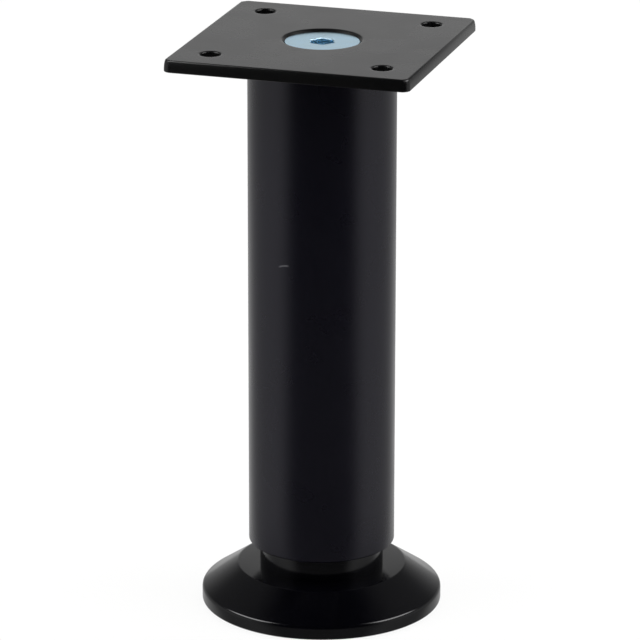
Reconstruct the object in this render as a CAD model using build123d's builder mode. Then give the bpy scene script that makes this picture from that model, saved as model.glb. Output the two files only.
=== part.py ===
from build123d import *
import math
import os

# Adjustable furniture leg, in millimetres, +Z up, origin on the floor on the tube's axis.
# A square steel plate is screwed under a cabinet. A steel tube hangs from the plate on one
# countersunk screw. A moulded foot on a threaded spindle screws in and out of the tube to level it.

# Mounting plate: coated steel sheet with a fixing hole near each corner.
plate_side = 67.0
plate_thickness = 3.25
plate_corner_radius = 1.9
plate_edge_chamfer = 0.5
fixing_hole_diameter = 5.3
fixing_hole_margin = 10.0  # from a hole's centre to the plate's edge
plate_sink_diameter = 21.6  # countersink in the middle, for the plate screw
sink_angle = 90

# Plate screw: M10 countersunk socket screw.
screw_diameter = 10.0
screw_pitch = 1.5
screw_head_diameter = 19.8
screw_length = 20.0
hex_sides = 6
socket_across_flats = 6.0
socket_depth = 4.2

# Tube
tube_diameter = 40.0
tube_wall = 1.5
tube_length = 138.5
tube_edge_chamfer = 0.45  # outer edge at the lower end

# Plug in the tube's head
plug_length = 18.0
plug_web = 6.0
plug_wall = 2.5
plug_boss_wall = 4.0
plug_rib_thickness = 2.5
plug_rib_count = 6
plug_lead = 0.8

# Foot: rim, cone, flat shoulder and neck, hollow and ribbed underneath.
foot_diameter = 65.9
foot_rim_height = 3.6
foot_shoulder_height = 10.2
foot_shoulder_overhang = 3.2  # the shoulder's edge stands this far outside the tube
foot_rim_chamfer = 0.4  # rim's bottom corner
foot_rim_bevel = 0.9  # rim's top corner, under the cone
foot_wall = 2.6
foot_rib_count = 8
foot_rib_thickness = 2.0
foot_rib_recess = 0.6  # ribs and boss stay this far above the floor
foot_boss_wall = 2.2
neck_lead = 1.0

# Adjustment
rest_extension = 7.0  # shoulder to tube end, as the leg stands
extension_left = 13.5  # how much further the foot can be screwed out
neck_guide_length = 7.0  # neck still in the sleeve when the foot is fully out

# Guide sleeve and captive nut
sleeve_wall = 1.2
sleeve_recess = 0.5  # the sleeve ends this far inside the tube
sleeve_web = 2.5
sleeve_boss_wall = 2.0
sleeve_rib_thickness = 1.8
sleeve_rib_count = 6
nut_across_flats = 16.0
nut_height = 8.0
nut_chamfer_angle = 30

# Spindle: M10 stud with a round head.
spindle_diameter = 10.0
spindle_pitch = 1.5
spindle_head_diameter = 15.0
spindle_head_height = 4.0
spindle_reserve = 1.5  # stud above the nut when the foot is fully out

# Clearances
press_clearance = 0.05  # pressed pieces inside the tube
seat_clearance = 0.05  # between seated pieces
thread_clearance = 0.1  # radial, a plain stud in a plain hole
guide_clearance = 0.3  # neck in the sleeve
head_clearance = 0.3  # round the spindle's head, and past the screw's cone
neck_clearance = 1.5  # neck's top to the sleeve's web when the foot is fully in
pocket_clearance = 0.1  # each side of the nut
web_hole_clearance = 0.6  # spindle through the sleeve's web

# Depth of a metric thread, which gives the lead-in chamfers their size.
thread_depth_ratio = 0.613
screw_lead = thread_depth_ratio * screw_pitch
spindle_lead = thread_depth_ratio * spindle_pitch

# Heights that follow
tube_bottom_z = foot_shoulder_height + rest_extension
tube_top_z = tube_bottom_z + tube_length
plate_top_z = tube_top_z + plate_thickness

# Radii that follow
tube_radius = tube_diameter / 2
tube_inner_radius = tube_radius - tube_wall
pressed_radius = tube_inner_radius - press_clearance
sleeve_inner_radius = pressed_radius - sleeve_wall
neck_radius = sleeve_inner_radius - guide_clearance
neck_inner_radius = neck_radius - foot_wall
foot_radius = foot_diameter / 2
foot_inner_radius = foot_radius - foot_wall
shoulder_radius = tube_radius + foot_shoulder_overhang

neck_height = rest_extension + extension_left + neck_guide_length
neck_top_z = foot_shoulder_height + neck_height
web_bottom_z = tube_bottom_z + neck_height + neck_clearance
web_top_z = web_bottom_z + sleeve_web
nut_top_z = web_top_z + seat_clearance + nut_height
spindle_top_z = nut_top_z + extension_left + spindle_reserve

os.makedirs("parts", exist_ok=True)

# Mounting plate: a rounded square with broken edges, four plain holes and one countersunk hole.
with BuildPart() as mounting_plate:
    with BuildSketch(Plane.XY.offset(tube_top_z)):
        RectangleRounded(plate_side, plate_side, plate_corner_radius)
    extrude(amount=plate_thickness)
    plate_faces = mounting_plate.faces().sort_by(Axis.Z)
    chamfer(plate_faces[-1].edges() + plate_faces[0].edges(), plate_edge_chamfer)
    fixing_hole_spacing = plate_side - 2 * fixing_hole_margin
    with Locations(mounting_plate.faces().sort_by(Axis.Z)[0]):
        with GridLocations(fixing_hole_spacing, fixing_hole_spacing, 2, 2):
            Hole(fixing_hole_diameter / 2)
    with Locations(mounting_plate.faces().sort_by(Axis.Z)[-1]):
        CounterSinkHole(
            screw_diameter / 2 + head_clearance,
            plate_sink_diameter / 2,
            counter_sink_angle=sink_angle,
        )
mounting_plate.part.label = "mounting_plate"
export_step(mounting_plate.part, "parts/mounting_plate.step")

# Plate screw: turned profile with a 90 degree head, then the hex socket.
# The head's cone lies on the plate's countersink, which sets how deep the head sits.
screw_radius = screw_diameter / 2
screw_head_radius = screw_head_diameter / 2
screw_top_z = plate_top_z - (plate_sink_diameter / 2 - screw_head_radius) + seat_clearance
screw_cone_end_z = screw_top_z - (screw_head_radius - screw_radius)
screw_tip_z = screw_top_z - screw_length
with BuildPart() as plate_screw:
    with BuildSketch(Plane.XZ):
        with BuildLine():
            Polyline(
                (0, screw_tip_z),
                (screw_radius - screw_lead, screw_tip_z),
                (screw_radius, screw_tip_z + screw_lead),
                (screw_radius, screw_cone_end_z),
                (screw_head_radius, screw_top_z),
                (0, screw_top_z),
                close=True,
            )
        make_face()
    revolve(axis=Axis.Z)
    with BuildSketch(Plane.XY.offset(screw_top_z)):
        RegularPolygon(socket_across_flats / 2, hex_sides, major_radius=False)
    extrude(amount=-socket_depth, mode=Mode.SUBTRACT)
plate_screw.part.label = "plate_screw"
export_step(plate_screw.part, "parts/plate_screw.step")

# Tube: cut to length, with its lower outer edge broken.
with BuildPart() as leg_tube:
    with BuildSketch(Plane.XY.offset(tube_bottom_z)):
        Circle(tube_radius)
        Circle(tube_inner_radius, mode=Mode.SUBTRACT)
    extrude(amount=tube_length)
    lower_rims = leg_tube.edges().filter_by(GeomType.CIRCLE).group_by(Axis.Z)[0]
    chamfer(lower_rims.sort_by(SortBy.RADIUS)[-1], tube_edge_chamfer)
leg_tube.part.label = "leg_tube"
export_step(leg_tube.part, "parts/leg_tube.step")

# Plug in the tube's head: cored from below, with ribs from its wall to the threaded boss.
plug_bottom_z = tube_top_z - plug_length
plug_core_radius = pressed_radius - plug_wall
plug_boss_radius = screw_radius + thread_clearance + plug_boss_wall
plug_sink_radius = screw_radius + (screw_cone_end_z + screw_head_radius - screw_radius - tube_top_z)
with BuildPart() as top_plug:
    with BuildSketch(Plane.XY.offset(plug_bottom_z)):
        Circle(pressed_radius)
    extrude(amount=plug_length)
    chamfer(top_plug.edges().group_by(Axis.Z)[0], plug_lead)
    with BuildSketch(Plane.XY.offset(plug_bottom_z)):
        Circle(plug_core_radius)
        Circle(plug_boss_radius, mode=Mode.SUBTRACT)
        with PolarLocations((plug_boss_radius + plug_core_radius) / 2, plug_rib_count):
            Rectangle(plug_core_radius - plug_boss_radius + plug_wall, plug_rib_thickness, mode=Mode.SUBTRACT)
    extrude(amount=plug_length - plug_web, mode=Mode.SUBTRACT)
    with Locations((0, 0, tube_top_z)):
        CounterSinkHole(
            screw_radius + thread_clearance,
            plug_sink_radius + head_clearance,
            counter_sink_angle=sink_angle,
        )
top_plug.part.label = "top_plug"
export_step(top_plug.part, "parts/top_plug.step")

# Guide sleeve: a thin wall round the foot's neck, a web above it and a ribbed hex pocket for the nut.
sleeve_bottom_z = tube_bottom_z + sleeve_recess
pocket_across_flats = nut_across_flats + 2 * pocket_clearance
pocket_corner_radius = pocket_across_flats / math.sqrt(3)
sleeve_boss_radius = pocket_corner_radius + sleeve_boss_wall
web_hole_radius = spindle_diameter / 2 + web_hole_clearance
with BuildPart() as guide_sleeve:
    with BuildSketch(Plane.XZ):
        with BuildLine():
            Polyline(
                (sleeve_inner_radius, sleeve_bottom_z),
                (pressed_radius, sleeve_bottom_z),
                (pressed_radius, nut_top_z),
                (sleeve_inner_radius, nut_top_z),
                (sleeve_inner_radius, web_top_z),
                (sleeve_boss_radius, web_top_z),
                (sleeve_boss_radius, nut_top_z),
                (web_hole_radius, nut_top_z),
                (web_hole_radius, web_bottom_z),
                (sleeve_inner_radius, web_bottom_z),
                close=True,
            )
        make_face()
    revolve(axis=Axis.Z)
    with BuildSketch(Plane.XY.offset(web_top_z)):
        with PolarLocations((sleeve_boss_radius + sleeve_inner_radius) / 2, sleeve_rib_count):
            Rectangle(sleeve_inner_radius - sleeve_boss_radius + sleeve_wall, sleeve_rib_thickness)
    extrude(amount=nut_top_z - web_top_z)
    with BuildSketch(Plane.XY.offset(web_top_z)):
        RegularPolygon(pocket_across_flats / 2, hex_sides, major_radius=False)
    extrude(amount=nut_top_z - web_top_z, mode=Mode.SUBTRACT)
guide_sleeve.part.label = "guide_sleeve"
export_step(guide_sleeve.part, "parts/guide_sleeve.step")

# Captive nut: a drilled hexagon with its corners turned off.
nut_bottom_z = nut_top_z - nut_height
nut_corner_radius = nut_across_flats / math.sqrt(3)
nut_chamfer_radius = nut_across_flats / 2
nut_chamfer_height = (nut_corner_radius - nut_chamfer_radius) * math.tan(math.radians(nut_chamfer_angle))
nut_bore_radius = spindle_diameter / 2 + thread_clearance
with BuildPart() as captive_nut:
    with BuildSketch(Plane.XY.offset(nut_bottom_z)):
        RegularPolygon(nut_across_flats / 2, hex_sides, major_radius=False)
        Circle(nut_bore_radius, mode=Mode.SUBTRACT)
    extrude(amount=nut_height)
    with BuildSketch(Plane.XZ):
        with BuildLine():
            Polyline(
                (0, nut_bottom_z),
                (nut_chamfer_radius, nut_bottom_z),
                (nut_corner_radius, nut_bottom_z + nut_chamfer_height),
                (nut_corner_radius, nut_top_z - nut_chamfer_height),
                (nut_chamfer_radius, nut_top_z),
                (0, nut_top_z),
                close=True,
            )
        make_face()
    revolve(axis=Axis.Z, mode=Mode.INTERSECT)
captive_nut.part.label = "captive_nut"
export_step(captive_nut.part, "parts/captive_nut.step")

# Spindle: a stud with a lead-in at its top and a round head that lies in the foot's counterbore.
spindle_radius = spindle_diameter / 2
spindle_head_radius = spindle_head_diameter / 2
spindle_head_bottom_z = foot_rib_recess + foot_wall
spindle_head_top_z = spindle_head_bottom_z + spindle_head_height
with BuildPart() as spindle:
    with BuildSketch(Plane.XZ):
        with BuildLine():
            Polyline(
                (0, spindle_head_bottom_z),
                (spindle_head_radius, spindle_head_bottom_z),
                (spindle_head_radius, spindle_head_top_z),
                (spindle_radius, spindle_head_top_z),
                (spindle_radius, spindle_top_z - spindle_lead),
                (spindle_radius - spindle_lead, spindle_top_z),
                (0, spindle_top_z),
                close=True,
            )
        make_face()
    revolve(axis=Axis.Z)
spindle.part.label = "spindle"
export_step(spindle.part, "parts/spindle.step")

# Core of the foot's mould: the hollow that it leaves under the cone and inside the neck.
# The hollow under the cone keeps one wall thickness below the cone and the shoulder.
cone_angle = math.atan2(foot_shoulder_height - foot_rim_height, foot_radius - shoulder_radius)
cone_pocket_top_z = foot_shoulder_height - foot_wall
cone_pocket_top_radius = shoulder_radius - foot_wall * math.tan(cone_angle / 2)
cone_pocket_rim_z = foot_rim_height - foot_wall * math.tan((math.pi / 2 - cone_angle) / 2)
head_pocket_radius = spindle_head_radius + head_clearance
head_pocket_top_z = spindle_head_top_z + seat_clearance
spindle_bore_radius = spindle_radius + thread_clearance
foot_boss_radius = head_pocket_radius + foot_boss_wall
neck_pocket_top_z = neck_top_z - foot_wall
with BuildPart() as foot_core:
    with BuildSketch(Plane.XZ):
        with BuildLine():
            Polyline(
                (0, 0),
                (foot_inner_radius, 0),
                (foot_inner_radius, cone_pocket_rim_z),
                (cone_pocket_top_radius, cone_pocket_top_z),
                (neck_radius, cone_pocket_top_z),
                (neck_radius, foot_rib_recess),
                (neck_inner_radius, foot_rib_recess),
                (neck_inner_radius, neck_pocket_top_z),
                (foot_boss_radius, neck_pocket_top_z),
                (foot_boss_radius, foot_rib_recess),
                (head_pocket_radius, foot_rib_recess),
                (head_pocket_radius, head_pocket_top_z),
                (spindle_bore_radius, head_pocket_top_z),
                (spindle_bore_radius, neck_top_z),
                (0, neck_top_z),
                close=True,
            )
        make_face()
    revolve(axis=Axis.Z)
    with BuildSketch(Plane.XY.offset(foot_rib_recess)):
        with PolarLocations((neck_radius + foot_inner_radius) / 2, foot_rib_count):
            Rectangle(foot_inner_radius - neck_radius + foot_wall, foot_rib_thickness)
        with PolarLocations((foot_boss_radius + neck_inner_radius) / 2, foot_rib_count // 2):
            Rectangle(neck_inner_radius - foot_boss_radius + foot_boss_wall, foot_rib_thickness)
    extrude(amount=neck_top_z, mode=Mode.SUBTRACT)

# Foot: one turned outer form, with the core taken out of it.
with BuildPart() as foot:
    with BuildSketch(Plane.XZ) as foot_profile:
        with BuildLine():
            Polyline(
                (0, 0),
                (foot_radius, 0),
                (foot_radius, foot_rim_height),
                (shoulder_radius, foot_shoulder_height),
                (neck_radius, foot_shoulder_height),
                (neck_radius, neck_top_z),
                (0, neck_top_z),
                close=True,
            )
        make_face()
        rim_top_edge = foot_profile.vertices().sort_by_distance((foot_radius, foot_rim_height))[0]
        chamfer(rim_top_edge, foot_rim_bevel)
        rim_bottom_edge = foot_profile.vertices().sort_by_distance((foot_radius, 0))[0]
        chamfer(rim_bottom_edge, foot_rim_chamfer)
        neck_edge = foot_profile.vertices().sort_by_distance((neck_radius, neck_top_z))[0]
        chamfer(neck_edge, neck_lead)
    revolve(axis=Axis.Z)
    add(foot_core.part, mode=Mode.SUBTRACT)
foot.part.label = "foot"
export_step(foot.part, "parts/foot.step")
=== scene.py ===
import math

import bmesh
import bpy
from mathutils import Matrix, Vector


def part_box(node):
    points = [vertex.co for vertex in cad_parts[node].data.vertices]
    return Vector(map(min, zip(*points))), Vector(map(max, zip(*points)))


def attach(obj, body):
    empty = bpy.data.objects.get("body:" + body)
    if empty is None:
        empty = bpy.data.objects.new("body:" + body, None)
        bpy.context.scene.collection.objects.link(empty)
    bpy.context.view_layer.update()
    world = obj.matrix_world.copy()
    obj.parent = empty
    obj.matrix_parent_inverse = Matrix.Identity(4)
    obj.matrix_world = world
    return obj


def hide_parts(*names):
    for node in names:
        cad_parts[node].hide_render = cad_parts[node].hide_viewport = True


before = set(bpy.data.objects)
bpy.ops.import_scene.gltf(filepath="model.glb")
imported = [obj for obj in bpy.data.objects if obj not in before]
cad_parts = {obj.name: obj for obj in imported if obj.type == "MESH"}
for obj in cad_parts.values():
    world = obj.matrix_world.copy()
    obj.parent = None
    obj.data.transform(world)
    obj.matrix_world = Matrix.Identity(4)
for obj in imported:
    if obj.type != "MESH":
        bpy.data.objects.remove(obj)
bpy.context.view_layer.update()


# Mounting plate: a square of 3 mm steel sheet that is screwed under the furniture through four
# plain holes. It is punched with rounded corners, sunk in the middle for the plate screw, and
# powder coated black, which softens every edge.
mm = 0.001
weld = 0.001 * mm  # points closer than this are one point
plate_low, plate_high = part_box("mounting_plate")
plate_side = plate_high[0] - plate_low[0]
plate_thickness = plate_high[2] - plate_low[2]
plate_corner_radius = 1.9 * mm
plate_corner_steps = 8
plate_sharpest_bend = 0.05 * mm
plate_roll_inset = 0.5 * mm
plate_roll_drop = 2.4 * mm
plate_roll_steps = 8
plate_corner_roll = 0.8  # how much further in the corners are rolled, as a share of the inset
plate_low_rounding = 0.25 * mm
plate_edge_flat = 0.5 * mm
fixing_hole_diameter = 5.3 * mm
fixing_hole_margin = 10.0 * mm
fixing_hole_spacing = plate_side - 2 * fixing_hole_margin
hole_rim_rounding = 0.5 * mm
plate_sink_diameter = 21.6 * mm
sink_rim_rounding = 0.18 * mm
sink_sides = 120


def linear(code):
    """An sRGB hex colour as linear red, green, blue and alpha."""
    shades = [int(code[k:k + 2], 16) / 255 for k in (1, 3, 5)]
    return [c / 12.92 if c <= 0.04045 else ((c + 0.055) / 1.055) ** 2.4 for c in shades] + [1.0]


def add(tree, kind, inputs=None, **settings):
    """Adds a node with its settings. An input takes a value, a socket, or a list of sockets."""
    node = tree.nodes.new(kind)
    for name, value in settings.items():
        setattr(node, name, value)
    for name, value in (inputs or {}).items():
        sources = value if isinstance(value, list) else [value]
        sockets = [source for source in sources if isinstance(source, bpy.types.NodeSocket)]
        for socket in sockets:
            tree.links.new(socket, node.inputs[name])
        if not sockets:
            node.inputs[name].default_value = value
    return node


def surface_finish(name, colours, roughness, drift_width, drift_detail, relief_width, relief_detail,
                   relief_depth, metallic=0.0, ior=None, drift_ends=(0.0, 1.0)):
    """A finish whose colour and roughness drift together over the surface, each between two ends, with
    a fine relief in it."""
    material = bpy.data.materials.new(name)
    material.use_nodes = True
    tree = material.node_tree
    shader = tree.nodes["Principled BSDF"]
    shader.inputs["Metallic"].default_value = metallic
    if ior is not None:
        shader.inputs["IOR"].default_value = ior
    place = add(tree, "ShaderNodeTexCoord").outputs["Object"]
    drift = add(tree, "ShaderNodeTexNoise", {
        "Vector": place, "Scale": 1 / drift_width, "Detail": drift_detail}).outputs["Fac"]
    colour = add(tree, "ShaderNodeValToRGB", {"Fac": drift})
    for stop, position, code in zip(colour.color_ramp.elements, drift_ends, colours):
        stop.position = position
        stop.color = linear(code)
    rough = add(tree, "ShaderNodeMapRange", {"Value": drift, "To Min": roughness[0], "To Max": roughness[1]})
    relief = add(tree, "ShaderNodeTexNoise", {
        "Vector": place, "Scale": 1 / relief_width, "Detail": relief_detail}).outputs["Fac"]
    bump = add(tree, "ShaderNodeBump", {"Height": relief, "Distance": relief_depth})
    tree.links.new(colour.outputs["Color"], shader.inputs["Base Color"])
    tree.links.new(rough.outputs["Result"], shader.inputs["Roughness"])
    tree.links.new(bump.outputs["Normal"], shader.inputs["Normal"])
    return material


def powder_coat(name, colours, roughness):
    """Satin black polyester powder coat, baked on steel. It flows out to a faint orange peel about
    1.5 mm wide, so reflections are soft and slightly uneven, and holds a few pale nibs of dust."""
    material = surface_finish(
        name, colours, roughness, ior=1.5, drift_width=14 * mm, drift_detail=3.0,
        relief_width=1.5 * mm, relief_detail=1.5, relief_depth=0.006 * mm)
    nib_spacing = 13 * mm
    nib_core = 0.012  # of the spacing, as is the nib's edge
    nib_edge = 0.028
    nib_strength = 0.6
    tree = material.node_tree
    shader = tree.nodes["Principled BSDF"]
    film = shader.inputs["Base Color"].links[0].from_socket
    place = add(tree, "ShaderNodeTexCoord").outputs["Object"]
    off_nib = add(tree, "ShaderNodeTexVoronoi", {
        "Vector": place, "Scale": 1 / nib_spacing}).outputs["Distance"]
    nib = add(tree, "ShaderNodeMapRange", {
        "Value": off_nib, "From Min": nib_core, "From Max": nib_edge, "To Min": nib_strength, "To Max": 0.0})
    dusted = add(tree, "ShaderNodeMix", {
        0: nib.outputs["Result"], 6: film, 7: linear("#2E2E30")}, data_type="RGBA")
    tree.links.new(dusted.outputs[2], shader.inputs["Base Color"])
    return material


plate_coat = powder_coat("black_powder_coat_plate", ("#070708", "#0B0B0C"), (0.235, 0.315))

# A punched hole's lining as a rule: a strip wound round, straight in its middle half, rolled out at
# both rims and ending in a narrow flat, set at the four corners of a square.
lining_sides = 48
lining_rows = 22
straight_end = 0.5  # how far from the strip's middle each stretch of it ends
roll_end = 1.0
flat_end = 1.1
hole_linings = bpy.data.node_groups.new("hole_linings", "GeometryNodeTree")
for size in ("Hole diameter", "Hole spacing", "Thickness", "Rim rounding", "Rim flat", "Height"):
    hole_linings.interface.new_socket(name=size, in_out="INPUT", socket_type="NodeSocketFloat")
hole_linings.interface.new_socket(name="Linings", in_out="OUTPUT", socket_type="NodeSocketGeometry")
given = add(hole_linings, "NodeGroupInput").outputs
strip = add(hole_linings, "GeometryNodeMeshGrid", {
    "Size X": 1.0, "Size Y": 2 * flat_end, "Vertices X": lining_sides + 1, "Vertices Y": lining_rows + 1})
spot = add(hole_linings, "ShaderNodeSeparateXYZ", {
    "Vector": add(hole_linings, "GeometryNodeInputPosition").outputs["Position"]}).outputs
from_middle = add(hole_linings, "ShaderNodeMath", {0: spot["Y"]}, operation="ABSOLUTE").outputs[0]
side = add(hole_linings, "ShaderNodeMath", {0: spot["Y"]}, operation="SIGN").outputs[0]
straight = add(hole_linings, "ShaderNodeMapRange", {
    "Value": from_middle, "From Min": 0.0, "From Max": straight_end}).outputs["Result"]
roll = add(hole_linings, "ShaderNodeMapRange", {
    "Value": from_middle, "From Min": straight_end, "From Max": roll_end,
    "To Min": 0.0, "To Max": math.pi / 2}).outputs["Result"]
outer = add(hole_linings, "ShaderNodeMapRange", {
    "Value": from_middle, "From Min": roll_end, "From Max": flat_end}).outputs["Result"]
roll_cosine = add(hole_linings, "ShaderNodeMath", {0: roll}, operation="COSINE").outputs[0]
roll_sine = add(hole_linings, "ShaderNodeMath", {0: roll}, operation="SINE").outputs[0]
opened = add(hole_linings, "ShaderNodeMath", {0: 1.0, 1: roll_cosine}, operation="SUBTRACT").outputs[0]
hole_radius = add(hole_linings, "ShaderNodeMath", {
    0: given["Hole diameter"], 1: 0.5}, operation="MULTIPLY").outputs[0]
rolled_radius = add(hole_linings, "ShaderNodeMath", {
    0: opened, 1: given["Rim rounding"], 2: hole_radius}, operation="MULTIPLY_ADD").outputs[0]
at_radius = add(hole_linings, "ShaderNodeMath", {
    0: outer, 1: given["Rim flat"], 2: rolled_radius}, operation="MULTIPLY_ADD").outputs[0]
half = add(hole_linings, "ShaderNodeMath", {0: given["Thickness"], 1: 0.5}, operation="MULTIPLY").outputs[0]
wall = add(hole_linings, "ShaderNodeMath", {
    0: half, 1: given["Rim rounding"]}, operation="SUBTRACT").outputs[0]
wall_height = add(hole_linings, "ShaderNodeMath", {0: straight, 1: wall}, operation="MULTIPLY").outputs[0]
off_middle = add(hole_linings, "ShaderNodeMath", {
    0: roll_sine, 1: given["Rim rounding"], 2: wall_height}, operation="MULTIPLY_ADD").outputs[0]
middle = add(hole_linings, "ShaderNodeMath", {0: given["Height"], 1: half}, operation="ADD").outputs[0]
height = add(hole_linings, "ShaderNodeMath", {
    0: off_middle, 1: side, 2: middle}, operation="MULTIPLY_ADD").outputs[0]
turn = add(hole_linings, "ShaderNodeMath", {0: spot["X"], 1: 2 * math.pi}, operation="MULTIPLY").outputs[0]
cosine = add(hole_linings, "ShaderNodeMath", {0: turn}, operation="COSINE").outputs[0]
sine = add(hole_linings, "ShaderNodeMath", {0: turn}, operation="SINE").outputs[0]
wound = add(hole_linings, "ShaderNodeCombineXYZ", {
    "X": add(hole_linings, "ShaderNodeMath", {0: cosine, 1: at_radius}, operation="MULTIPLY").outputs[0],
    "Y": add(hole_linings, "ShaderNodeMath", {0: sine, 1: at_radius}, operation="MULTIPLY").outputs[0],
    "Z": height})
lining = add(hole_linings, "GeometryNodeSetPosition", {
    "Geometry": strip.outputs["Mesh"], "Position": wound.outputs["Vector"]})
closed = add(hole_linings, "GeometryNodeMergeByDistance", {
    "Geometry": lining.outputs["Geometry"], "Distance": weld})
corners = add(hole_linings, "GeometryNodeMeshGrid", {
    "Size X": given["Hole spacing"], "Size Y": given["Hole spacing"], "Vertices X": 2, "Vertices Y": 2})
four = add(hole_linings, "GeometryNodeInstanceOnPoints", {
    "Points": corners.outputs["Mesh"], "Instance": closed.outputs["Geometry"]})
real = add(hole_linings, "GeometryNodeRealizeInstances", {"Geometry": four.outputs["Instances"]})
coated = add(hole_linings, "GeometryNodeSetMaterial", {
    "Geometry": real.outputs["Geometry"], "Material": plate_coat})
add(hole_linings, "NodeGroupOutput", {"Linings": coated.outputs["Geometry"]})


def run_rule(tree, sizes, bm):
    """Runs a Geometry Nodes tree with its sizes, and puts its result into a bmesh as plain mesh."""
    holder = bpy.data.objects.new(tree.name, bpy.data.meshes.new(tree.name))
    bpy.context.scene.collection.objects.link(holder)
    modifier = holder.modifiers.new(tree.name, "NODES")
    modifier.node_group = tree
    for socket in tree.interface.items_tree:
        if socket.name in sizes:
            modifier[socket.identifier] = sizes[socket.name]
    graph = bpy.context.evaluated_depsgraph_get()
    mesh = bpy.data.meshes.new_from_object(holder.evaluated_get(graph))
    bm.from_mesh(mesh)
    bpy.data.objects.remove(holder)
    bpy.data.meshes.remove(mesh)


bm = bmesh.new()
run_rule(hole_linings, {
    "Hole diameter": fixing_hole_diameter,
    "Hole spacing": fixing_hole_spacing,
    "Thickness": plate_thickness,
    "Rim rounding": hole_rim_rounding,
    "Rim flat": plate_edge_flat,
    "Height": plate_low[2],
}, bm)

# The plate's outer edge: rounded squares from the flat on top, down the edge that punching has
# rolled over, more at the corners, to the flat below.
quarter = [math.pi / 2 * k / plate_roll_steps for k in range(plate_roll_steps + 1)]
edge_profile = [(plate_roll_inset + plate_edge_flat, plate_high[2])]
for t in quarter:
    inset = plate_roll_inset * (1 - math.sin(t))
    edge_profile.append((inset, plate_high[2] - plate_roll_drop * (1 - math.cos(t))))
for t in quarter:
    inset = plate_low_rounding * (1 - math.cos(t))
    edge_profile.append((inset, plate_low[2] + plate_low_rounding * (1 - math.sin(t))))
edge_profile.append((plate_low_rounding + plate_edge_flat, plate_low[2]))
edge_rings = []
for inset, height in edge_profile:
    ring = []
    bend = max(plate_corner_radius - inset, plate_sharpest_bend)
    middle = plate_side / 2 - inset - bend
    for corner in range(4):
        diagonal = math.pi / 2 * (corner + 0.5)
        middle_x = math.copysign(middle, math.cos(diagonal))
        middle_y = math.copysign(middle, math.sin(diagonal))
        for k in range(plate_corner_steps + 1):
            part = k / plate_corner_steps
            t = math.pi / 2 * (corner + part)
            reach = bend - plate_corner_roll * min(inset, plate_roll_inset) * math.sin(math.pi * part)
            x = middle_x + reach * math.cos(t)
            y = middle_y + reach * math.sin(t)
            ring.append(bm.verts.new((x, y, height)))
    edge_rings.append(ring)

# The sink for the plate screw: a 45 degree cone. Its softened rims are given in rim roundings, as
# steps outwards and down from the upper edge, and outwards and up from the lower one.
sink_upper_rim = ((1.0, 0.0), (0.3, 0.12), (-0.5, 0.6), (-1.5, 1.5))
sink_lower_rim = ((1.0, 1.0), (0.3, 0.2), (0.6, 0.0))
sink_radius = plate_sink_diameter / 2
sink_foot = sink_radius - plate_thickness
sink_profile = [(sink_radius + sink_rim_rounding + plate_edge_flat, plate_high[2])]
for outwards, down in sink_upper_rim:
    radius = sink_radius + outwards * sink_rim_rounding
    sink_profile.append((radius, plate_high[2] - down * sink_rim_rounding))
for outwards, up in sink_lower_rim:
    radius = sink_foot + outwards * sink_rim_rounding
    sink_profile.append((radius, plate_low[2] + up * sink_rim_rounding))
sink_profile.append((sink_foot + sink_rim_rounding + plate_edge_flat, plate_low[2]))
turns = [2 * math.pi * k / sink_sides for k in range(sink_sides)]
sink_rings = []
for radius, height in sink_profile:
    sink_rings.append([bm.verts.new((radius * math.cos(t), radius * math.sin(t), height)) for t in turns])
for rings in (edge_rings, sink_rings):
    for upper, lower in zip(rings, rings[1:]):
        for k in range(len(upper)):
            bm.faces.new((upper[k - 1], lower[k - 1], lower[k], upper[k]))

# The flats between the edge and the holes.
for level in (plate_high[2], plate_low[2]):
    open_edges = []
    for edge in bm.edges:
        if edge.is_boundary and all(abs(point.co.z - level) < weld for point in edge.verts):
            open_edges.append(edge)
    bmesh.ops.triangle_fill(bm, use_beauty=True, use_dissolve=False, edges=open_edges)


def made(name, bm, material, smooth_angle):
    """Closes a bmesh as an object with outward faces, smooth up to the given angle."""
    bmesh.ops.remove_doubles(bm, verts=bm.verts, dist=weld / 2)
    bmesh.ops.recalc_face_normals(bm, faces=bm.faces)
    mesh = bpy.data.meshes.new(name)
    bm.to_mesh(mesh)
    bm.free()
    mesh.materials.clear()
    mesh.materials.append(material)
    mesh.shade_smooth()
    mesh.set_sharp_from_angle(angle=math.radians(smooth_angle))
    piece = bpy.data.objects.new(name, mesh)
    bpy.context.scene.collection.objects.link(piece)
    return piece


plate = made("coated_plate", bm, plate_coat, smooth_angle=40)
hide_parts("mounting_plate")
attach(plate, "leg")


# Plate screw: an M10 countersunk socket screw of blue passivated zinc steel. Its head is forged,
# its hex socket punched and its thread rolled, and it pulls the tube's plug up against the plate.
screw_low, screw_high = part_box("plate_screw")
screw_radius = 5.0 * mm
screw_pitch = 1.5 * mm
# The head is this much wider all round, and so sits as much higher in its sink, than the plain solid's.
screw_head_extra = 0.25 * mm
screw_head_radius = screw_high[0] + screw_head_extra
screw_top = screw_high[2] + screw_head_extra
screw_cone_end = screw_top - (screw_head_radius - screw_radius)
screw_edge_break = 0.1 * mm
screw_edge_flat = 0.4 * mm
screw_thread_overlap = 1.0 * mm
socket_sides = 6
socket_across_flats = 6.0 * mm
socket_depth = 4.2 * mm
socket_edge = 0.2 * mm
socket_edge_slope = 1.08
socket_turn = math.radians(-10)


def turned(bm, profile, segments):
    """Turns a profile of (radius, height) points about the leg's axis and returns its rings."""
    rings = []
    for radius, height in profile:
        turns = [2 * math.pi * k / segments for k in range(segments if radius > 0 else 1)]
        rings.append([bm.verts.new((radius * math.cos(t), radius * math.sin(t), height)) for t in turns])
    for lower, upper in zip(rings, rings[1:]):
        for k in range(segments):
            corners = (lower[k % len(lower)], lower[(k + 1) % len(lower)],
                       upper[(k + 1) % len(upper)], upper[k % len(upper)])
            bm.faces.new(list(dict.fromkeys(corners)))
    return rings


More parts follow.
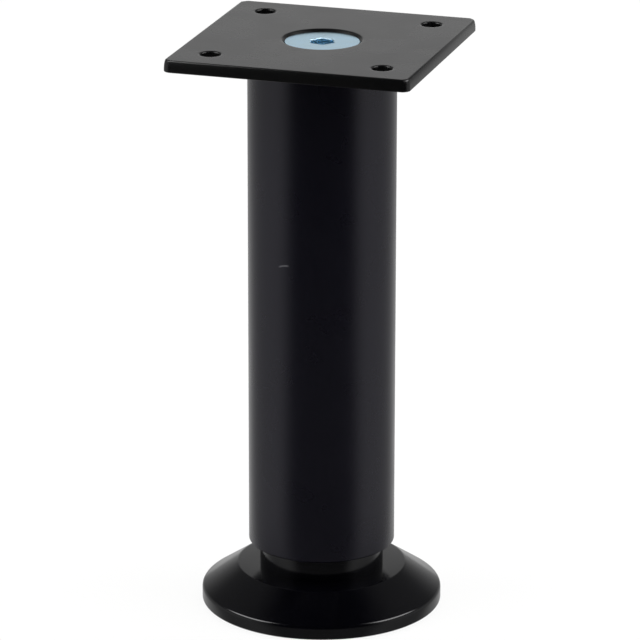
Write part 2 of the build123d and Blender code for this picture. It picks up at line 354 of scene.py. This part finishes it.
# Blue zinc: a thin chromate film over bright zinc, so a pale metal with a blue cast that drifts a
# little over a few millimetres, and a soft, slightly uneven shine.
blue_zinc = surface_finish(
    "blue_zinc_plating", ("#C8E9FD", "#D2F0FF"), (0.18, 0.3), metallic=1.0,
    drift_width=4 * mm, drift_detail=2.0, drift_ends=(0.35, 0.65),
    relief_width=4 * mm, relief_detail=2.0, relief_depth=0.02 * mm)
blue_zinc.node_tree.nodes["Principled BSDF"].inputs["Specular Tint"].default_value = linear("#F4FAFD")

# A rolled thread as a rule: a sheet wound round the axis, its radius set by how far along its
# pitch each point lies, with a 45 degree lead-in and a flat cap at both ends.
thread_sides = 48
rows_per_pitch = 12
crest_half = 0.06  # of the pitch, as are the flank's end and the depth
flank_end = 0.42
thread_depth = 0.613
rolled_thread = bpy.data.node_groups.new("rolled_thread", "GeometryNodeTree")
for size in ("Diameter", "Pitch", "Length", "Start height"):
    rolled_thread.interface.new_socket(name=size, in_out="INPUT", socket_type="NodeSocketFloat")
rolled_thread.interface.new_socket(name="Finish", in_out="INPUT", socket_type="NodeSocketMaterial")
rolled_thread.interface.new_socket(name="Thread", in_out="OUTPUT", socket_type="NodeSocketGeometry")
given = add(rolled_thread, "NodeGroupInput").outputs
turn_count = add(rolled_thread, "ShaderNodeMath", {
    0: given["Length"], 1: given["Pitch"]}, operation="DIVIDE").outputs[0]
rows = add(rolled_thread, "ShaderNodeMath", {
    0: turn_count, 1: rows_per_pitch, 2: 1.0}, operation="MULTIPLY_ADD").outputs[0]
wrap = add(rolled_thread, "GeometryNodeMeshGrid", {
    "Size X": 1.0, "Size Y": given["Length"], "Vertices X": thread_sides + 1, "Vertices Y": rows})
spot = add(rolled_thread, "ShaderNodeSeparateXYZ", {
    "Vector": add(rolled_thread, "GeometryNodeInputPosition").outputs["Position"]}).outputs
along = add(rolled_thread, "ShaderNodeMath", {
    0: given["Length"], 1: 0.5, 2: spot["Y"]}, operation="MULTIPLY_ADD").outputs[0]
pitches = add(rolled_thread, "ShaderNodeMath", {0: along, 1: given["Pitch"]}, operation="DIVIDE").outputs[0]
phase = add(rolled_thread, "ShaderNodeMath", {0: pitches, 1: spot["X"]}, operation="SUBTRACT").outputs[0]
flank = add(rolled_thread, "ShaderNodeMath", {0: phase, 1: 0.5}, operation="PINGPONG").outputs[0]
crest = add(rolled_thread, "ShaderNodeMapRange", {
    "Value": flank, "From Min": crest_half, "From Max": flank_end,
    "To Min": 1.0, "To Max": 0.0}).outputs["Result"]
depth = add(rolled_thread, "ShaderNodeMath", {
    0: given["Pitch"], 1: thread_depth}, operation="MULTIPLY").outputs[0]
radius = add(rolled_thread, "ShaderNodeMath", {0: given["Diameter"], 1: 0.5}, operation="MULTIPLY").outputs[0]
core = add(rolled_thread, "ShaderNodeMath", {0: radius, 1: depth}, operation="SUBTRACT").outputs[0]
ridge = add(rolled_thread, "ShaderNodeMath", {
    0: crest, 1: depth, 2: core}, operation="MULTIPLY_ADD").outputs[0]
left = add(rolled_thread, "ShaderNodeMath", {0: given["Length"], 1: along}, operation="SUBTRACT").outputs[0]
to_end = add(rolled_thread, "ShaderNodeMath", {0: along, 1: left}, operation="MINIMUM").outputs[0]
lead = add(rolled_thread, "ShaderNodeMath", {0: core, 1: to_end}, operation="ADD").outputs[0]
at_radius = add(rolled_thread, "ShaderNodeMath", {0: ridge, 1: lead}, operation="MINIMUM").outputs[0]
turn = add(rolled_thread, "ShaderNodeMath", {0: spot["X"], 1: 2 * math.pi}, operation="MULTIPLY").outputs[0]
cosine = add(rolled_thread, "ShaderNodeMath", {0: turn}, operation="COSINE").outputs[0]
sine = add(rolled_thread, "ShaderNodeMath", {0: turn}, operation="SINE").outputs[0]
wound = add(rolled_thread, "ShaderNodeCombineXYZ", {
    "X": add(rolled_thread, "ShaderNodeMath", {0: cosine, 1: at_radius}, operation="MULTIPLY").outputs[0],
    "Y": add(rolled_thread, "ShaderNodeMath", {0: sine, 1: at_radius}, operation="MULTIPLY").outputs[0],
    "Z": along})
flanks = add(rolled_thread, "GeometryNodeSetPosition", {
    "Geometry": wrap.outputs["Mesh"], "Position": wound.outputs["Vector"]})
cap = add(rolled_thread, "GeometryNodeMeshCircle", {
    "Vertices": thread_sides, "Radius": core}, fill_type="NGON")
to_far_end = add(rolled_thread, "ShaderNodeCombineXYZ", {"Z": given["Length"]})
end_cap = add(rolled_thread, "GeometryNodeTransform", {
    "Geometry": cap.outputs["Mesh"], "Translation": to_far_end.outputs["Vector"]})
start_cap = add(rolled_thread, "GeometryNodeFlipFaces", {"Mesh": cap.outputs["Mesh"]})
all_faces = add(rolled_thread, "GeometryNodeJoinGeometry", {
    "Geometry": [flanks.outputs["Geometry"], end_cap.outputs["Geometry"], start_cap.outputs["Mesh"]]})
sealed = add(rolled_thread, "GeometryNodeMergeByDistance", {
    "Geometry": all_faces.outputs["Geometry"], "Distance": weld})
to_start = add(rolled_thread, "ShaderNodeCombineXYZ", {"Z": given["Start height"]})
seated = add(rolled_thread, "GeometryNodeTransform", {
    "Geometry": sealed.outputs["Geometry"], "Translation": to_start.outputs["Vector"]})
real = add(rolled_thread, "GeometryNodeRealizeInstances", {"Geometry": seated.outputs["Geometry"]})
plated = add(rolled_thread, "GeometryNodeSetMaterial", {
    "Geometry": real.outputs["Geometry"], "Material": given["Finish"]})
add(rolled_thread, "NodeGroupOutput", {"Thread": plated.outputs["Geometry"]})

bm = bmesh.new()
run_rule(rolled_thread, {
    "Diameter": 2 * screw_radius,
    "Pitch": screw_pitch,
    "Length": screw_cone_end - screw_low[2] + screw_thread_overlap,
    "Start height": screw_low[2],
    "Finish": blue_zinc,
}, bm)
head = turned(bm, [
    (0, screw_cone_end),
    (screw_radius, screw_cone_end),
    (screw_head_radius - screw_edge_break, screw_top - screw_edge_break),
    (screw_head_radius - 2 * screw_edge_break, screw_top),
    (screw_head_radius - 2 * screw_edge_break - screw_edge_flat, screw_top),
], segments=96)
# The hex socket, with the edges of its mouth broken.
turns = [socket_turn + 2 * math.pi * k / socket_sides for k in range(socket_sides)]
hexagons = []
for across, drop in (
    (socket_across_flats + 4 * socket_edge, 0),
    (socket_across_flats + 2 * socket_edge, 0),
    (socket_across_flats, socket_edge_slope * socket_edge),
    (socket_across_flats, socket_depth),
):
    reach = across / math.sqrt(3)
    height = screw_top - drop
    hexagons.append([bm.verts.new((reach * math.cos(t), reach * math.sin(t), height)) for t in turns])
for outer, inner in zip(hexagons, hexagons[1:]):
    for k in range(socket_sides):
        bm.faces.new((outer[k - 1], outer[k], inner[k], inner[k - 1]))
bm.faces.new(hexagons[-1])
# The flat top of the head, between its edge and the socket's mouth.
rim_edges = []
for ring in (head[-1], hexagons[0]):
    rim_edges += [bm.edges.get((ring[k - 1], ring[k])) for k in range(len(ring))]
bmesh.ops.triangle_fill(bm, use_beauty=True, edges=rim_edges)
screw = made("zinc_plate_screw", bm, blue_zinc, smooth_angle=25)
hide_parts("plate_screw")
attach(screw, "leg")


# Tube: the leg itself, 40 mm welded steel tube sawn to length. Its lower edge is rounded over so
# that it doesn't catch, and it has a black coat like the plate's with a faint blue cast.
tube_low, tube_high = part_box("leg_tube")
tube_radius = tube_high[0]
tube_wall = 1.5 * mm
tube_inner = tube_radius - tube_wall
tube_edge_rounding = 0.5 * mm
tube_edge_break = 0.2 * mm
scuff_angle = math.radians(-103.6)
scuff_height = 101.1 * mm
scuff_slope = 0.23
scuff_bend = 0.07 / mm
scuff_reach = 1.9 * mm
scuff_core = 0.05 * mm
scuff_width = 0.35 * mm
scuff_colour = "#4C4C50"


def rounded(corners, steps=6):
    """Profile points for (radius, height, rounding) corners of a closed outline."""
    points = []
    for k, (x, y, rounding) in enumerate(corners):
        if rounding == 0:
            points.append((x, y))
            continue
        before = corners[k - 1]
        after = corners[(k + 1) % len(corners)]
        u = (before[0] - x, before[1] - y)
        v = (after[0] - x, after[1] - y)
        u = [c / math.hypot(*u) for c in u]
        v = [c / math.hypot(*v) for c in v]
        opening = math.acos(u[0] * v[0] + u[1] * v[1])
        reach = rounding / math.tan(opening / 2)
        depth = rounding / math.sin(opening / 2)
        both = math.hypot(u[0] + v[0], u[1] + v[1])
        middle = [(a + b) / both * depth for a, b in zip(u, v)]
        start = [u[n] * reach - middle[n] for n in (0, 1)]
        end = [v[n] * reach - middle[n] for n in (0, 1)]
        sweep = math.pi - opening
        for step in range(steps + 1):
            a = math.sin((1 - step / steps) * sweep) / math.sin(sweep)
            b = math.sin(step / steps * sweep) / math.sin(sweep)
            bent = [middle[n] + a * start[n] + b * end[n] for n in (0, 1)]
            points.append((x + bent[0], y + bent[1]))
    return points


# The tube's coat has one light scuff, a shallow arc about 4 mm long a little above the middle of its front.
tube_coat = powder_coat("black_powder_coat_tube", ("#090812", "#0D0C17"), (0.24, 0.32))
coat_tree = tube_coat.node_tree
coat_shader = coat_tree.nodes["Principled BSDF"]
coat_shader.inputs["Specular Tint"].default_value = linear("#F8F6FF")
unmarked = coat_shader.inputs["Base Color"].links[0].from_socket
spot = add(coat_tree, "ShaderNodeSeparateXYZ", {
    "Vector": add(coat_tree, "ShaderNodeTexCoord").outputs["Object"]}).outputs
round_tube = add(coat_tree, "ShaderNodeMath", {0: spot["Y"], 1: spot["X"]}, operation="ARCTAN2").outputs[0]
along = add(coat_tree, "ShaderNodeMath", {
    0: round_tube, 1: tube_radius, 2: -scuff_angle * tube_radius}, operation="MULTIPLY_ADD").outputs[0]
rise = add(coat_tree, "ShaderNodeMath", {
    0: along, 1: -scuff_bend, 2: scuff_slope}, operation="MULTIPLY_ADD").outputs[0]
line = add(coat_tree, "ShaderNodeMath", {
    0: along, 1: rise, 2: scuff_height}, operation="MULTIPLY_ADD").outputs[0]
above_line = add(coat_tree, "ShaderNodeMath", {0: spot["Z"], 1: line}, operation="SUBTRACT").outputs[0]
off_line = add(coat_tree, "ShaderNodeMath", {0: above_line}, operation="ABSOLUTE").outputs[0]
off_middle = add(coat_tree, "ShaderNodeMath", {0: along}, operation="ABSOLUTE").outputs[0]
width = add(coat_tree, "ShaderNodeMapRange", {
    "Value": off_line, "From Min": scuff_core, "From Max": scuff_width,
    "To Min": 1.0, "To Max": 0.0}, interpolation_type="SMOOTHSTEP").outputs["Result"]
length = add(coat_tree, "ShaderNodeMapRange", {
    "Value": off_middle, "From Min": 0.5 * scuff_reach, "From Max": scuff_reach,
    "To Min": 1.0, "To Max": 0.0}, interpolation_type="SMOOTHSTEP").outputs["Result"]
scuff = add(coat_tree, "ShaderNodeMath", {0: width, 1: length}, operation="MULTIPLY").outputs[0]
scuffed = add(coat_tree, "ShaderNodeMix", {0: scuff, 6: unmarked, 7: linear(scuff_colour)}, data_type="RGBA")
coat_tree.links.new(scuffed.outputs[2], coat_shader.inputs["Base Color"])

tube_profile = rounded([
    (tube_radius, tube_low[2], tube_edge_rounding),
    (tube_radius, tube_high[2], tube_edge_break),
    (tube_inner, tube_high[2], tube_edge_break),
    (tube_inner, tube_low[2], tube_edge_break),
])
bm = bmesh.new()
turned(bm, tube_profile + tube_profile[:1], segments=160)
tube = made("coated_tube", bm, tube_coat, smooth_angle=35)
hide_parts("leg_tube")
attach(tube, "leg")


# Top plug: a cast aluminium plug pressed into the tube's head, tapped M10 for the plate screw.
# It is hidden once the plate is on.
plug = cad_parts["top_plug"]

# Cast aluminium, left as cast: pale grey and dull, with a fine grain from the mould.
cast = surface_finish(
    "cast_aluminium", ("#8C8C8A", "#B4B4B1"), (0.42, 0.6), metallic=1.0,
    drift_width=0.7 * mm, drift_detail=3.0,
    relief_width=0.7 * mm, relief_detail=3.0, relief_depth=0.03 * mm)
plug.data.materials.clear()
plug.data.materials.append(cast)


# Guide sleeve: a moulded nylon sleeve in the tube's lower end. The foot's neck slides in it, and
# its ribbed pocket holds the nut.
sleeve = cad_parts["guide_sleeve"]

# Nylon, moulded black: a shade paler than the coat, with a matt, faintly grained skin.
nylon = surface_finish(
    "black_nylon", ("#151516", "#1E1E1F"), (0.45, 0.6), ior=1.53,
    drift_width=0.5 * mm, drift_detail=2.0,
    relief_width=0.5 * mm, relief_detail=2.0, relief_depth=0.01 * mm)
sleeve.data.materials.clear()
sleeve.data.materials.append(nylon)


# Captive nut: an M10 steel nut, bright zinc plated, dropped into the sleeve's hex pocket.
# It is hidden in the tube.
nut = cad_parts["captive_nut"]

# Bright zinc: a silvery metal, clouded a little where the plating is thicker.
bright_zinc = surface_finish(
    "bright_zinc_plating", ("#A9AEB2", "#C6C7C4"), (0.25, 0.42), metallic=1.0,
    drift_width=3 * mm, drift_detail=3.0,
    relief_width=3 * mm, relief_detail=3.0, relief_depth=0.01 * mm)
nut.data.materials.clear()
nut.data.materials.append(bright_zinc)


# Spindle: an M10 stud with a round head, cold formed and rolled, zinc plated. Its head sits in
# the foot's counterbore and its thread runs up through the captive nut.
spindle_low, spindle_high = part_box("spindle")
spindle_radius = 5.0 * mm
spindle_pitch = 1.5 * mm
spindle_head_radius = spindle_high[0]
spindle_head_height = 4.0 * mm
spindle_head_top = spindle_low[2] + spindle_head_height
spindle_head_low_rounding = 0.4 * mm
spindle_head_top_rounding = 0.3 * mm
spindle_thread_overlap = 1.0 * mm
bm = bmesh.new()
run_rule(rolled_thread, {
    "Diameter": 2 * spindle_radius,
    "Pitch": spindle_pitch,
    "Length": spindle_high[2] - spindle_head_top + spindle_thread_overlap,
    "Start height": spindle_head_top - spindle_thread_overlap,
    "Finish": bright_zinc,
}, bm)
spindle_head = rounded([
    (spindle_head_radius, spindle_low[2], spindle_head_low_rounding),
    (spindle_head_radius, spindle_head_top, spindle_head_top_rounding),
    (0, spindle_head_top, 0),
    (0, spindle_low[2], 0),
])
turned(bm, spindle_head[-1:] + spindle_head[:-1], segments=72)
stud = made("zinc_spindle", bm, bright_zinc, smooth_angle=30)
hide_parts("spindle")
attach(stud, "spindle")


# Foot: one injection moulding in smooth black plastic: rim, cone, shoulder and neck outside,
# hollow and ribbed underneath. It is turned by hand to set the height.
foot_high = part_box("foot")[1]
foot_radius = foot_high[0]
foot_rim_height = 3.6 * mm
foot_wall = 2.6 * mm
foot_inner = foot_radius - foot_wall
shoulder_height = 10.2 * mm
shoulder_overhang = 3.2 * mm
shoulder_radius = tube_radius + shoulder_overhang
neck_gap = 1.55 * mm  # the guide sleeve's wall and the clearance on both of its sides
neck_radius = tube_inner - neck_gap
neck_inner = neck_radius - foot_wall
neck_top = foot_high[2]
neck_lead = 1.0 * mm
head_pocket_clearance = 0.3 * mm
head_pocket_radius = spindle_head_radius + head_pocket_clearance
head_seat_gap = 0.05 * mm
head_pocket_top = spindle_head_top + head_seat_gap
boss_wall = 2.2 * mm
boss_radius = head_pocket_radius + boss_wall
bore_clearance = 0.1 * mm
bore_radius = spindle_radius + bore_clearance
rib_recess = 0.6 * mm
rib_thickness = 2.0 * mm
rib_overlap = 0.3 * mm
outer_rib_count = 8
inner_rib_count = 4
sole_rounding = 0.3 * mm
rim_rounding = 1.2 * mm
shoulder_rounding = 1.0 * mm
foot_edge_break = 0.2 * mm
hollow_rounding = 0.5 * mm
neck_root_rounding = 0.4 * mm
cone_angle = math.atan2(shoulder_height - foot_rim_height, foot_radius - shoulder_radius)
hollow_top = shoulder_height - foot_wall
hollow_top_radius = shoulder_radius - foot_wall * math.tan(cone_angle / 2)
hollow_rim = foot_rim_height - foot_wall * math.tan((math.pi / 2 - cone_angle) / 2)
neck_hollow_top = neck_top - foot_wall

# Moulded polypropylene from a polished mould: smooth and near black, with a clear, soft-edged gloss.
moulded = surface_finish(
    "moulded_black_polypropylene", ("#020204", "#050509"), (0.1, 0.17), ior=1.49,
    drift_width=9 * mm, drift_detail=3.0,
    relief_width=1.1 * mm, relief_detail=2.0, relief_depth=0.004 * mm)

# Ribs as a rule: one upright blade from wall to wall, its top kept under the hollow's roof, set
# round the axis as often as wanted.
blade_steps = 12
mould_ribs = bpy.data.node_groups.new("mould_ribs", "GeometryNodeTree")
mould_ribs.interface.new_socket(name="Count", in_out="INPUT", socket_type="NodeSocketInt")
for size in ("Thickness", "Inner radius", "Outer radius", "Low", "Top", "Rim height", "Roof slope"):
    mould_ribs.interface.new_socket(name=size, in_out="INPUT", socket_type="NodeSocketFloat")
mould_ribs.interface.new_socket(name="Ribs", in_out="OUTPUT", socket_type="NodeSocketGeometry")
given = add(mould_ribs, "NodeGroupInput").outputs
rib_length = add(mould_ribs, "ShaderNodeMath", {
    0: given["Outer radius"], 1: given["Inner radius"]}, operation="SUBTRACT").outputs[0]
rib_height = add(mould_ribs, "ShaderNodeMath", {
    0: given["Top"], 1: given["Low"]}, operation="SUBTRACT").outputs[0]
blade_size = add(mould_ribs, "ShaderNodeCombineXYZ", {
    "X": rib_length, "Y": given["Thickness"], "Z": rib_height})
blade = add(mould_ribs, "GeometryNodeMeshCube", {
    "Size": blade_size.outputs["Vector"], "Vertices X": blade_steps, "Vertices Y": 2, "Vertices Z": 2})
reach_sum = add(mould_ribs, "ShaderNodeMath", {
    0: given["Outer radius"], 1: given["Inner radius"]}, operation="ADD").outputs[0]
height_sum = add(mould_ribs, "ShaderNodeMath", {0: given["Top"], 1: given["Low"]}, operation="ADD").outputs[0]
blade_place = add(mould_ribs, "ShaderNodeCombineXYZ", {
    "X": add(mould_ribs, "ShaderNodeMath", {0: reach_sum, 1: 0.5}, operation="MULTIPLY").outputs[0],
    "Z": add(mould_ribs, "ShaderNodeMath", {0: height_sum, 1: 0.5}, operation="MULTIPLY").outputs[0]})
placed = add(mould_ribs, "GeometryNodeTransform", {
    "Geometry": blade.outputs["Mesh"], "Translation": blade_place.outputs["Vector"]})
spot = add(mould_ribs, "ShaderNodeSeparateXYZ", {
    "Vector": add(mould_ribs, "GeometryNodeInputPosition").outputs["Position"]}).outputs
inward = add(mould_ribs, "ShaderNodeMath", {
    0: given["Outer radius"], 1: spot["X"]}, operation="SUBTRACT").outputs[0]
roof = add(mould_ribs, "ShaderNodeMath", {
    0: inward, 1: given["Roof slope"], 2: given["Rim height"]}, operation="MULTIPLY_ADD").outputs[0]
under_roof = add(mould_ribs, "ShaderNodeMath", {0: spot["Z"], 1: roof}, operation="MINIMUM").outputs[0]
kept_under = add(mould_ribs, "ShaderNodeCombineXYZ", {"X": spot["X"], "Y": spot["Y"], "Z": under_roof})
trimmed = add(mould_ribs, "GeometryNodeSetPosition", {
    "Geometry": placed.outputs["Geometry"], "Position": kept_under.outputs["Vector"]})
hub = add(mould_ribs, "GeometryNodeMeshLine", {"Count": given["Count"], "Offset": (0, 0, 0)})
step = add(mould_ribs, "ShaderNodeMath", {0: 2 * math.pi, 1: given["Count"]}, operation="DIVIDE").outputs[0]
turn = add(mould_ribs, "ShaderNodeMath", {
    0: add(mould_ribs, "GeometryNodeInputIndex").outputs["Index"], 1: step}, operation="MULTIPLY").outputs[0]
wheel = add(mould_ribs, "GeometryNodeInstanceOnPoints", {
    "Points": hub.outputs["Mesh"],
    "Instance": trimmed.outputs["Geometry"],
    "Rotation": add(mould_ribs, "ShaderNodeCombineXYZ", {"Z": turn}).outputs["Vector"]})
real = add(mould_ribs, "GeometryNodeRealizeInstances", {"Geometry": wheel.outputs["Instances"]})
in_plastic = add(mould_ribs, "GeometryNodeSetMaterial", {
    "Geometry": real.outputs["Geometry"], "Material": moulded})
add(mould_ribs, "NodeGroupOutput", {"Ribs": in_plastic.outputs["Geometry"]})

bm = bmesh.new()
run_rule(mould_ribs, {
    "Count": outer_rib_count,
    "Thickness": rib_thickness,
    "Inner radius": neck_radius - rib_overlap,
    "Outer radius": foot_inner + rib_overlap,
    "Low": rib_recess,
    "Top": hollow_top + rib_overlap,
    "Rim height": hollow_rim,
    "Roof slope": math.tan(cone_angle),
}, bm)
run_rule(mould_ribs, {
    "Count": inner_rib_count,
    "Thickness": rib_thickness,
    "Inner radius": boss_radius - rib_overlap,
    "Outer radius": neck_inner + rib_overlap,
    "Low": rib_recess,
    "Top": neck_hollow_top + rib_overlap,
    "Rim height": neck_top,
    "Roof slope": 0.0,
}, bm)
foot_profile = rounded([
    (foot_radius, 0, sole_rounding),
    (foot_radius, foot_rim_height, rim_rounding),
    (shoulder_radius, shoulder_height, shoulder_rounding),
    (neck_radius, shoulder_height, 0),
    (neck_radius, neck_top - neck_lead, foot_edge_break),
    (neck_radius - neck_lead, neck_top, foot_edge_break),
    (bore_radius, neck_top, 0),
    (bore_radius, head_pocket_top, 0),
    (head_pocket_radius, head_pocket_top, 0),
    (head_pocket_radius, rib_recess, foot_edge_break),
    (boss_radius, rib_recess, foot_edge_break),
    (boss_radius, neck_hollow_top, hollow_rounding),
    (neck_inner, neck_hollow_top, hollow_rounding),
    (neck_inner, rib_recess, foot_edge_break),
    (neck_radius, rib_recess, foot_edge_break),
    (neck_radius, hollow_top, neck_root_rounding),
    (hollow_top_radius, hollow_top, hollow_rounding),
    (foot_inner, hollow_rim, hollow_rounding),
    (foot_inner, 0, sole_rounding),
])
turned(bm, foot_profile + foot_profile[:1], segments=160)
foot = made("moulded_foot", bm, moulded, smooth_angle=35)
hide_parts("foot")
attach(foot, "foot")


# Studio: a plain white floor and background, soft lamps, and black cloth behind the camera and
# overhead, which gives the black finishes their dark fronts.
scene = bpy.context.scene
scene.view_settings.view_transform = "Standard"
camera_turn = math.radians(17.18)
white_shown = 1.0  # the background's strength where it is seen
white_light = 0.5  # and where it only lights the leg


def in_sight(tree):
    """1 for what the camera sees, also in a reflection or through glass, and 0 for light that bounces."""
    rays = add(tree, "ShaderNodeLightPath").outputs
    either = add(tree, "ShaderNodeMath", {
        0: rays["Is Camera Ray"], 1: rays["Is Glossy Ray"]}, operation="MAXIMUM").outputs[0]
    return add(tree, "ShaderNodeMath", {
        0: either, 1: rays["Is Transmission Ray"]}, operation="MAXIMUM").outputs[0]


world = bpy.data.worlds.new("white_studio")
scene.world = world
world.use_nodes = True
world_tree = world.node_tree
background = world_tree.nodes["Background"]
background.inputs["Color"].default_value = linear("#FFFFFF")
level = add(world_tree, "ShaderNodeMapRange", {
    "Value": in_sight(world_tree), "To Min": white_light, "To Max": white_shown})
world_tree.links.new(level.outputs["Result"], background.inputs["Strength"])

# Matt white paper. It is mostly see-through to the camera, so that only a soft shadow shows on the
# white background, and it fades out altogether further from the leg.
floor_half_side = 3.0
floor_drop = 0.2 * mm
paper_clear = 0.88
paper_fade_start = 0.25
paper_fade_end = 1.2
paper = bpy.data.materials.new("white_paper_floor")
paper.use_nodes = True
paper_tree = paper.node_tree
paper_tree.nodes.remove(paper_tree.nodes["Principled BSDF"])
paper_reach = add(paper_tree, "ShaderNodeVectorMath", {
    0: add(paper_tree, "ShaderNodeTexCoord").outputs["Object"]}, operation="LENGTH").outputs["Value"]
faded = add(paper_tree, "ShaderNodeMapRange", {
    "Value": paper_reach, "From Min": paper_fade_start, "From Max": paper_fade_end,
    "To Min": paper_clear, "To Max": 1.0}, interpolation_type="SMOOTHSTEP").outputs["Result"]
share = add(paper_tree, "ShaderNodeMath", {
    0: in_sight(paper_tree), 1: faded}, operation="MULTIPLY").outputs[0]
matt = add(paper_tree, "ShaderNodeBsdfDiffuse", {"Color": linear("#F6F6F4")})
through = add(paper_tree, "ShaderNodeBsdfTransparent")
paper_mix = add(paper_tree, "ShaderNodeMixShader", {
    0: share, 1: matt.outputs["BSDF"], 2: through.outputs["BSDF"]})
paper_tree.links.new(paper_mix.outputs["Shader"], paper_tree.nodes["Material Output"].inputs["Surface"])
bm = bmesh.new()
bmesh.ops.create_grid(bm, x_segments=1, y_segments=1, size=floor_half_side)
for point in bm.verts:
    point.co.z = -floor_drop
floor_mesh = bpy.data.meshes.new("floor")
bm.to_mesh(floor_mesh)
bm.free()
floor_mesh.materials.append(paper)
floor = bpy.data.objects.new("floor", floor_mesh)
scene.collection.objects.link(floor)

# A tent of grey and black cloth round the leg, seen only in reflections: pale at the sides, paler
# behind, dimmer higher up, and black overhead and on the camera's side. At the left and the right
# hangs a lit strip, lower towards the back.
cloth_start = 32.7 * mm
cloth_lift = 0.3 * mm
cloth_reach = 6.0
cloth_floor_rows = 48
cloth_floor_spread = 3.5  # the rows on the floor lie closer together towards the foot
cloth_dome_rows = 60
cloth_columns = 120
leg_middle = 80 * mm
cloth_glow = bpy.data.materials.new("studio_cloth")
cloth_glow.use_nodes = True
cloth_tree = cloth_glow.node_tree
cloth_tree.nodes.remove(cloth_tree.nodes["Principled BSDF"])
shade = add(cloth_tree, "ShaderNodeAttribute", attribute_name="glow")
glow = add(cloth_tree, "ShaderNodeEmission", {"Strength": shade.outputs["Fac"]})
cloth_tree.links.new(glow.outputs["Emission"], cloth_tree.nodes["Material Output"].inputs["Surface"])


def eased(value, start, end):
    """0 before start, 1 after end, smooth in between."""
    t = min(max((value - start) / (end - start), 0), 1)
    return t * t * (3 - 2 * t)


def cloth_level(turn, up, reach):
    """The cloth's brightness at angles from the camera's side and above the leg's middle, in degrees,
    and at a distance from the leg's axis."""
    side_level = 0.54
    rear_side_level = 0.38
    far_floor_level = 0.3
    upper_level = 0.13
    strip_level = 6.0
    foot_reach = 0.036
    on_floor = up < 0
    turn = abs(turn)
    if on_floor:
        # Next to the foot the pale sides come further round to the front.
        turn = min(turn * (1 + (foot_reach / reach) ** 4), 180)
    behind = eased(turn, 156, 174)
    front = 0.0
    pale = side_level + (rear_side_level - side_level) * eased(turn, 66, 115)
    if on_floor:
        # Paler behind the leg, shaded next to the foot, even far out, and not quite black in front.
        pale += 0.4 * eased(turn, 120, 155) * (1 - 0.6 * eased(reach, 0.15, 0.55))
        pale *= 0.65 + 0.35 * eased(reach, foot_reach, 0.08)
        pale += (far_floor_level - pale) * eased(turn, 120, 140) * eased(reach, 0.6, 1.6)
        front = 0.06 * (1 - eased(reach, 0.2, 0.45)) + 0.08 * (1 - eased(reach, 0.04, 0.055))
    else:
        pale += 0.42 * behind
    # Dimmer higher up, and black overhead.
    pale += (upper_level - pale) * eased(up, 4 + 9.8 * behind, 28 - 0.2 * behind)
    pale *= 1 - eased(up, 48, 72)
    # The lit strip, whose upper edge falls by 0.3 degrees for each degree towards the back.
    fallen = up + 0.3 * (turn - 80)
    strip_across = eased(turn, 57, 68) * (1 - eased(turn, 104, 114))
    strip_upright = eased(up, 28.5, 32) * (1 - eased(fallen, 49, 54))
    return front + (pale - front) * eased(turn, 40, 68) + strip_level * strip_across * strip_upright


cloth_rows = []
for k in range(cloth_floor_rows + 1):
    spread = (k / cloth_floor_rows) ** cloth_floor_spread
    cloth_rows.append((cloth_start + (cloth_reach - cloth_start) * spread, cloth_lift))
for k in range(1, cloth_dome_rows + 1):
    up = math.pi / 2 * k / cloth_dome_rows
    cloth_rows.append((cloth_reach * math.cos(up), cloth_lift + cloth_reach * math.sin(up)))
bm = bmesh.new()
levels = bm.verts.layers.float.new("glow")
columns = []
for n in range(cloth_columns):
    turn = -180 + 360 * n / cloth_columns
    side = camera_turn + math.radians(turn)
    column = []
    for reach, height in cloth_rows:
        point = bm.verts.new((reach * math.sin(side), -reach * math.cos(side), height))
        point[levels] = cloth_level(turn, math.degrees(math.atan2(height - leg_middle, reach)), reach)
        column.append(point)
    columns.append(column)
for left_edge, right_edge in zip(columns, columns[1:] + columns[:1]):
    for n in range(len(cloth_rows) - 1):
        bm.faces.new((left_edge[n], right_edge[n], right_edge[n + 1], left_edge[n + 1]))
cloth_mesh = bpy.data.meshes.new("studio_cloth")
bm.to_mesh(cloth_mesh)
bm.free()
cloth_mesh.materials.append(cloth_glow)
cloth = bpy.data.objects.new("studio_cloth", cloth_mesh)
scene.collection.objects.link(cloth)
cloth.visible_camera = False
cloth.visible_diffuse = False
cloth.visible_shadow = False
cloth.visible_transmission = False
# The leg stands on its foot, so the floor and the tent follow the foot up and down as it is screwed.
for surround in (floor, cloth):
    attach(surround, "spindle")

# Softboxes: they light the matt share of the surfaces and throw the shadow, and don't show in reflections.
for name, place, width, power in (
    ("left_softbox", (-1.1, -0.5, 1.3), 1.2, 13.0),
    ("right_softbox", (1.2, 0.2, 1.3), 1.2, 13.0),
    ("top_softbox", (0.0, 0.5, 1.7), 1.4, 13.0),
):
    lamp = bpy.data.lights.new(name, "AREA")
    lamp.energy = power
    lamp.size = width
    softbox = bpy.data.objects.new(name, lamp)
    softbox.location = place
    aim = math.atan2(math.hypot(place[0], place[1]), place[2])
    softbox.rotation_euler = (aim, 0, math.atan2(place[0], -place[1]))
    softbox.visible_camera = False
    softbox.visible_glossy = False
    scene.collection.objects.link(softbox)

# Camera: a long lens, looking down on the leg from a little to the right of its front.
camera_place = (0.3314, -1.0718, 0.4564)
camera_dip = math.radians(18.538)
camera_lean = math.radians(-0.08)
camera_trim = math.radians(0.027)
lens = bpy.data.cameras.new("camera")
lens.sensor_width = 36
lens.lens = 245.19
lens.shift_x = -0.0031
camera = bpy.data.objects.new("camera", lens)
camera.location = camera_place
camera.rotation_euler = (math.pi / 2 - camera_dip, camera_lean, camera_turn + camera_trim)
scene.collection.objects.link(camera)
scene.camera = camera
